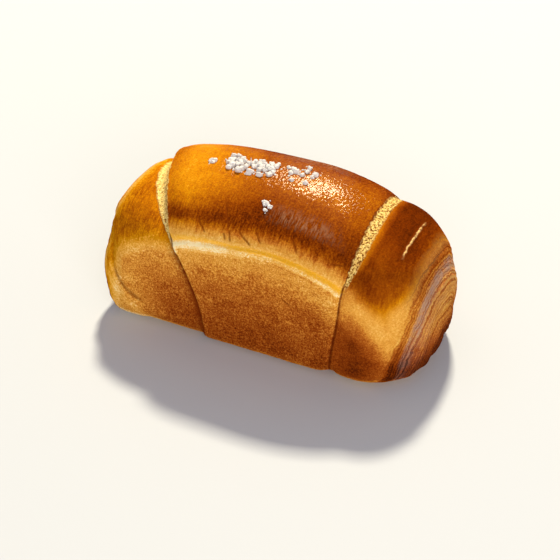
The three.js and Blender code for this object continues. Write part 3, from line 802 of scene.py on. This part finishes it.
class Shader:
    """Adds nodes to one material. Each method returns the socket with its result."""

    def __init__(self, name):
        self.material = bpy.data.materials.new(name)
        self.material.use_nodes = True
        self.tree = self.material.node_tree
        self.surface = self.tree.nodes["Principled BSDF"]
        self.place = self.new("ShaderNodeTexCoord").outputs["Object"]
        self.values = {}

    def new(self, kind, inputs=None, **settings):
        """A node with its settings, and with its inputs given by name or number."""
        node = self.tree.nodes.new(kind)
        for name, value in settings.items():
            setattr(node, name, value)
        for name, value in (inputs or {}).items():
            self.give(node.inputs[name], value)
        return node

    def keep(self, **values):
        self.values.update(values)

    def give(self, socket, value):
        """Sets a socket to a number, a colour, another socket or a kept value, given by its name."""
        if isinstance(value, str):
            value = self.values[value]
        if isinstance(value, bpy.types.NodeSocket):
            self.tree.links.new(value, socket)
        else:
            socket.default_value = value

    def set(self, **inputs):
        for name, value in inputs.items():
            self.give(self.surface.inputs[name.replace("_", " ")], value)

    def feature(self, name):
        return self.new("ShaderNodeAttribute", attribute_name=name).outputs["Fac"]

    def math(self, operation, *values, clamp=False):
        inputs = dict(enumerate(values))
        return self.new("ShaderNodeMath", inputs, operation=operation, use_clamp=clamp).outputs[0]

    def add(self, *values):
        return reduce(lambda total, value: self.math("ADD", total, value), values)

    def times(self, *values):
        return reduce(lambda product, value: self.math("MULTIPLY", product, value), values)

    def less(self, value):
        return self.math("SUBTRACT", 1.0, value, clamp=True)

    def colours(self, value, stops):
        """Colours along a value, given as (value, sRGB colour) stops."""
        low, high = stops[0][0], stops[-1][0]
        span = self.new("ShaderNodeMapRange", {"Value": value, "From Min": low, "From Max": high})
        node = self.new("ShaderNodeValToRGB", {"Fac": span.outputs["Result"]})
        elements = node.color_ramp.elements
        for index, (at, colour) in enumerate(stops):
            position = (at - low) / (high - low)
            element = elements[index] if index in (0, 1) else elements.new(position)
            element.position = position
            element.color = colour if len(colour) == 4 else linear(colour)
        return node.outputs["Color"]

    def curve(self, value, stops):
        """A number along a value, given as (value, number) stops."""
        return self.colours(value, [(at, (level, level, level, 1.0)) for at, level in stops])

    def scaled_place(self, units):
        return self.new("ShaderNodeVectorMath", {0: self.place, 1: units}, operation="DIVIDE").outputs[0]

    def noise(self, size, detail=2, stretch=None, roughness=0.5):
        """Noise from 0 to 1 with features of a size in millimetres, stretched along the axes if asked."""
        place = self.scaled_place(stretch) if stretch else self.place
        inputs = {"Vector": place, "Scale": 1 / (size * MM), "Detail": detail, "Roughness": roughness}
        return self.new("ShaderNodeTexNoise", inputs).outputs["Fac"]

    def lines(self, value, count, detail=3):
        """Fine uneven lines, from 0 to 1, along a value."""
        inputs = {"W": value, "Scale": count, "Detail": detail}
        return self.new("ShaderNodeTexNoise", inputs, noise_dimensions="1D").outputs["Fac"]

    def around(self, value, reach):
        """A 0 to 1 value moved to lie around zero, with the given reach."""
        return self.times(self.add(value, -0.5), reach)

    def places(self):
        """Design millimetres along X, Y and Z."""
        return self.new("ShaderNodeSeparateXYZ", {0: self.scaled_place((MM, MM, MM))}).outputs

    def mix(self, share_of_second, first, second):
        inputs = {"Factor": share_of_second, 6: first, 7: second}
        return self.new("ShaderNodeMix", inputs, data_type="RGBA").outputs[2]

    def blend(self, share_of_second, first, second):
        inputs = {"Factor": share_of_second, 2: first, 3: second}
        return self.new("ShaderNodeMix", inputs, data_type="FLOAT").outputs[0]

    def bump(self, height):
        """Normals from a height in millimetres."""
        return self.new("ShaderNodeBump", {"Height": height, "Distance": MM}).outputs["Normal"]

    def patch(self, by=1, on=(), **stops_along):
        """An amount, times the named masks that it is on and its stops along named values."""
        return self.times(*on, *[self.curve(name, stops) for name, stops in stops_along.items()], by)

    def patches(self, spots):
        """What several patches add up to."""
        return self.add(*[self.patch(**spot) for spot in spots])

    def tinted(self, colour, tints):
        """A colour with others over it, each in its patch."""
        for tint in tints:
            spot = {name: value for name, value in tint.items() if name != "colour"}
            colour = self.mix(self.patch(**spot), colour, linear(tint["colour"]))
        return colour

    def swing(self, texture, reach=None):
        """A noise around zero, with its own reach unless another is given."""
        return self.around(self.noise(**texture.noise), texture.by if reach is None else reach)

    def contrast(self, texture):
        """A noise from 0 to 1 with more contrast."""
        return self.curve(self.noise(**texture.noise), texture.contrast)

    def scatter(self, body):
        """Lets light a little way into the surface."""
        self.set(Subsurface_Weight=body.subsurface, Subsurface_Scale=body.depth * MM)
        self.set(Subsurface_Radius=body.radius)


def line_mask(shader, x, arc, line):
    """How far a point is on a line between two places, each given by its x and its angle."""
    start, end = (Vector((along, angle * ARC_LENGTH)) for along, angle in line[:2])
    run = end - start
    unit = run.normalized()
    start_across = start.y * unit.x - start.x * unit.y
    along = shader.add(shader.times(x, unit.x), shader.times(arc, unit.y), -start.dot(unit))
    across = shader.add(shader.times(x, -unit.y), shader.times(arc, unit.x), -start_across)
    taper = LINE.taper * run.length
    lengthwise = shader.curve(along, [(0, 0), (taper, 1), (run.length - taper, 1), (run.length, 0)])
    return shader.times(lengthwise, shader.curve(across, [(-LINE.width, 0), (0, 1), (LINE.width, 0)]))


def crust_values(shader):
    """Keeps the values and masks that the crust's patches follow."""
    shader.keep(**{name: shader.feature(name) for name in SHADER_FEATURES})
    shader.keep(**dict(zip("xyz", shader.places())))
    shader.keep(on_left=shader.curve("left_gap", CREASE_SIDE))
    shader.keep(on_right=shader.curve("right_gap", CREASE_SIDE))
    shader.keep(crown=shader.curve("rise", CROWN_RISE))
    shader.keep(off_left=shader.less("on_left"), off_crown=shader.less("crown"))
    shader.keep(middle=shader.times("off_left", shader.less("on_right")))
    shader.keep(speckle=shader.contrast(SPECKLE), fibres=shader.contrast(FIBRES))


def wrap_browning(shader):
    """The browning of the three wraps, with streaks where the dough stretched."""
    streaks = shader.swing(STREAKS, shader.blend("on_right", STREAKS.middle, STREAKS.right))
    streaks = shader.times(streaks, shader.curve("rise", STREAKS.rise))
    ragged = shader.swing(RAGGED, shader.blend("on_left", RAGGED.middle, RAGGED.left))
    shader.keep(torn_rise=shader.add("rise", streaks, ragged))
    right_rise = shader.add("torn_rise", shader.patches(RIGHT_TAN))
    middle = shader.add(shader.curve("torn_rise", MIDDLE_TOAST), shader.patches(MIDDLE_PATCHES))
    right = shader.add(shader.curve(right_rise, RIGHT_TOAST), shader.patches(RIGHT_PATCHES))
    toast = shader.blend("on_left", middle, shader.curve("torn_rise", LEFT_TOAST))
    return shader.add(shader.blend("on_right", toast, right), shader.patches(WHOLE_PATCHES))


def end_browning(shader, toast):
    """The browning with the layered ends, the pale rim outside them and the fold on the left corner."""
    toast = shader.blend(shader.patch(**PALE_RIM), toast, PALE_RIM_TOAST)
    warp = shader.add(shader.swing(LAYER_WAVES), shader.swing(LAYER_RIPPLES))
    shader.keep(warped_level=shader.add("level", warp))
    shader.keep(end_face=shader.patch(**END_FACE))
    lines = shader.lines(shader.add("layer", warp), LAYER_LINES.count)
    shader.keep(end_lines=shader.curve(lines, LAYER_LINES.contrast))
    shader.keep(line_swing=shader.around("end_lines", 1))
    layers = shader.add(shader.curve("warped_level", END_TOAST), shader.patches(END_PATCHES))
    toast = shader.blend("end_face", toast, layers)
    fold_lines = shader.around(shader.lines("fold_gap", FOLD_LINES.count), FOLD_LINES.by)
    shader.keep(fold_lines=shader.add(fold_lines, FOLD_LINES.paler))
    return shader.add(toast, shader.patch(**OUTSIDE_FOLD))


def textured_browning(shader, toast):
    """The browning with speckle on the matte walls, fibres on the crown and a paler edge at the base that is
    painted bounce light from the floor.
    """
    blotches = shader.swing(BLOTCHES, shader.blend("crown", BLOTCHES.wall, BLOTCHES.crown))
    fibres = shader.around("fibres", shader.curve("rise", FIBRES.rise))
    on_wall = shader.add(shader.around("speckle", SPECKLE.wall), blotches, shader.swing(SMEARS))
    on_crown = shader.add(shader.around("speckle", SPECKLE.crown), fibres, blotches)
    texture = shader.blend(shader.curve("rise", TEXTURE.crown_from), on_wall, on_crown)
    by_side = shader.blend("on_right", 1, TEXTURE.on_right)
    texture = shader.times(texture, shader.curve(toast, TEXTURE.by_toast), by_side)
    return shader.add(toast, texture, shader.swing(MOTTLE), shader.patches(BASE_BOUNCE_LIGHT))


def baked_colour(shader, toast):
    """The crust's colour, with the yellow line above the lip and the tinted layers of the ends."""
    glazed = shader.curve(shader.add("rise", shader.patches(GLAZED_SHIFTS)), GLAZED_RISE)
    colour = shader.mix(glazed, shader.colours(toast, WALL_COLOURS), shader.colours(toast, CROWN_COLOURS))
    shader.keep(line_rise=shader.add("torn_rise", shader.patch(**YELLOW_SHIFT)))
    shader.keep(grey_noise=shader.noise(**GREY_NOISE))
    return shader.tinted(colour, LAYER_TINTS)


def torn_colour(shader, colour):
    """The colour with crumb in the torn bands, a dark edge where the right one tore away, and the folds,
    with painted shade beside the left one.
    """
    edge = shader.swing(CRUMB_EDGE)
    shader.keep(left_edge=shader.add("left_gap", edge), right_edge=shader.add("right_gap", edge))
    shader.keep(crumb=shader.patches(CRUMB_PATCHES), pits=shader.noise(**PIT_NOISE))
    shader.keep(broken=shader.contrast(BROKEN), uneven=shader.contrast(UNEVEN))
    crumb_value = shader.add("pits", shader.patches(PIT_SHIFTS))
    colour = shader.mix("crumb", colour, shader.colours(crumb_value, CRUMB_COLOURS))
    return shader.tinted(colour, FOLD_AND_SHADE_TINTS)


def lined_colour(shader, colour):
    """The colour with the wrinkles, the tear and a painted reflection, a dull sheen on the dark band."""
    turn = shader.math("ARCTAN2", shader.add("z", -AXIS.z), shader.times("y", -1))
    arc = shader.times(turn, math.degrees(ARC_LENGTH))
    x = shader.add("x", shader.swing(LINE))
    shader.keep(lines=shader.add(*[line_mask(shader, x, arc, line) for line in WRINKLES + [TEAR]]))
    shader.keep(light_edge=line_mask(shader, x, arc, TEAR_EDGE))
    return shader.tinted(colour, LINE_TINTS)


def make_crust():
    shader = Shader("crust")
    crust_values(shader)
    toast = end_browning(shader, wrap_browning(shader))
    colour = baked_colour(shader, textured_browning(shader, toast))
    colour = lined_colour(shader, torn_colour(shader, colour))
    shader.set(Base_Color=colour, Roughness=CRUST_BODY.roughness, Specular_IOR_Level=0.0)
    shader.scatter(CRUST_BODY)
    shader.keep(crinkle_noise=shader.noise(**CRINKLE_NOISE), off_crumb=shader.less("crumb"))
    crinkles = shader.patch(**CRINKLES)
    shader.set(Normal=shader.bump(shader.add(crinkles, shader.patches(BUMPS))))
    glaze = shader.blend("on_left", shader.blend("on_right", GLAZE.middle, GLAZE.right), GLAZE.left)
    glaze = shader.times(glaze, shader.patch(**GLAZE.patch))
    shader.set(Coat_Weight=glaze, Coat_Roughness=GLAZE.roughness, Coat_Normal=shader.bump(crinkles))
    return shader.material


def make_salt_material():
    shader = Shader("salt")
    lumps = shader.noise(**SALT_BODY.noise)
    shader.set(Base_Color=shader.colours(lumps, SALT_COLOURS), Roughness=SALT_BODY.roughness)
    shader.set(Normal=shader.bump(shader.times(lumps, SALT_BODY.bump)))
    shader.scatter(SALT_BODY)
    return shader.material


def make_floor():
    corners = np.array([(-1, -1, 0), (1, -1, 0), (1, 1, 0), (-1, 1, 0)]) * FLOOR.half
    floor = make_mesh("floor", corners - (0, 0, FLOOR.drop), [(0, 1, 2, 3)])
    shader = Shader("floor")
    shader.set(Base_Color=linear(FLOOR.colour), Roughness=FLOOR.roughness, Specular_IOR_Level=FLOOR.specular)
    floor.data.materials.append(shader.material)


def make_light(name, light):
    """A square soft light that looks at the loaf's middle."""
    data = bpy.data.lights.new(name, "AREA")
    data.size = light.size
    data.energy = light.power
    data.color = linear(light.colour)[:3]
    lamp = add_object(name, data)
    direction = Vector(light.direction).normalized()
    lamp.location = direction * light.distance
    lamp.rotation_euler = direction.to_track_quat("Z", "Y").to_euler()
    lamp.visible_glossy = light is GLINT
    lamp.visible_diffuse = light is not GLINT


def make_world():
    world = bpy.data.worlds.new("studio")
    world.use_nodes = True
    background = world.node_tree.nodes["Background"]
    background.inputs["Color"].default_value = linear(WORLD.colour)
    background.inputs["Strength"].default_value = WORLD.strength
    bpy.context.scene.world = world


def make_camera():
    data = bpy.data.cameras.new("camera")
    data.angle = math.radians(CAMERA.angle)
    camera = add_object("camera", data)
    eye, target = Vector(CAMERA.eye) * MM, Vector(CAMERA.target) * MM
    aim = (target - eye).to_track_quat("-Z", "Y").to_matrix().to_4x4()
    camera.matrix_world = Matrix.Translation(eye) @ aim @ Matrix.Rotation(math.radians(CAMERA.roll), 4, "Z")
    bpy.context.scene.camera = camera


loaf = make_loaf()
loaf.data.materials.append(make_crust())
salt = make_salt()
salt.data.materials.append(make_salt_material())
for piece, slot in ((loaf, "crust"), (salt, "salt")):
    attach(piece, "root")
    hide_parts("loaf")

make_floor()
make_light("key", KEY)
make_light("glint", GLINT)
make_light("fill", FILL)
make_world()
make_camera()
bpy.context.scene.view_settings.view_transform = "Standard"
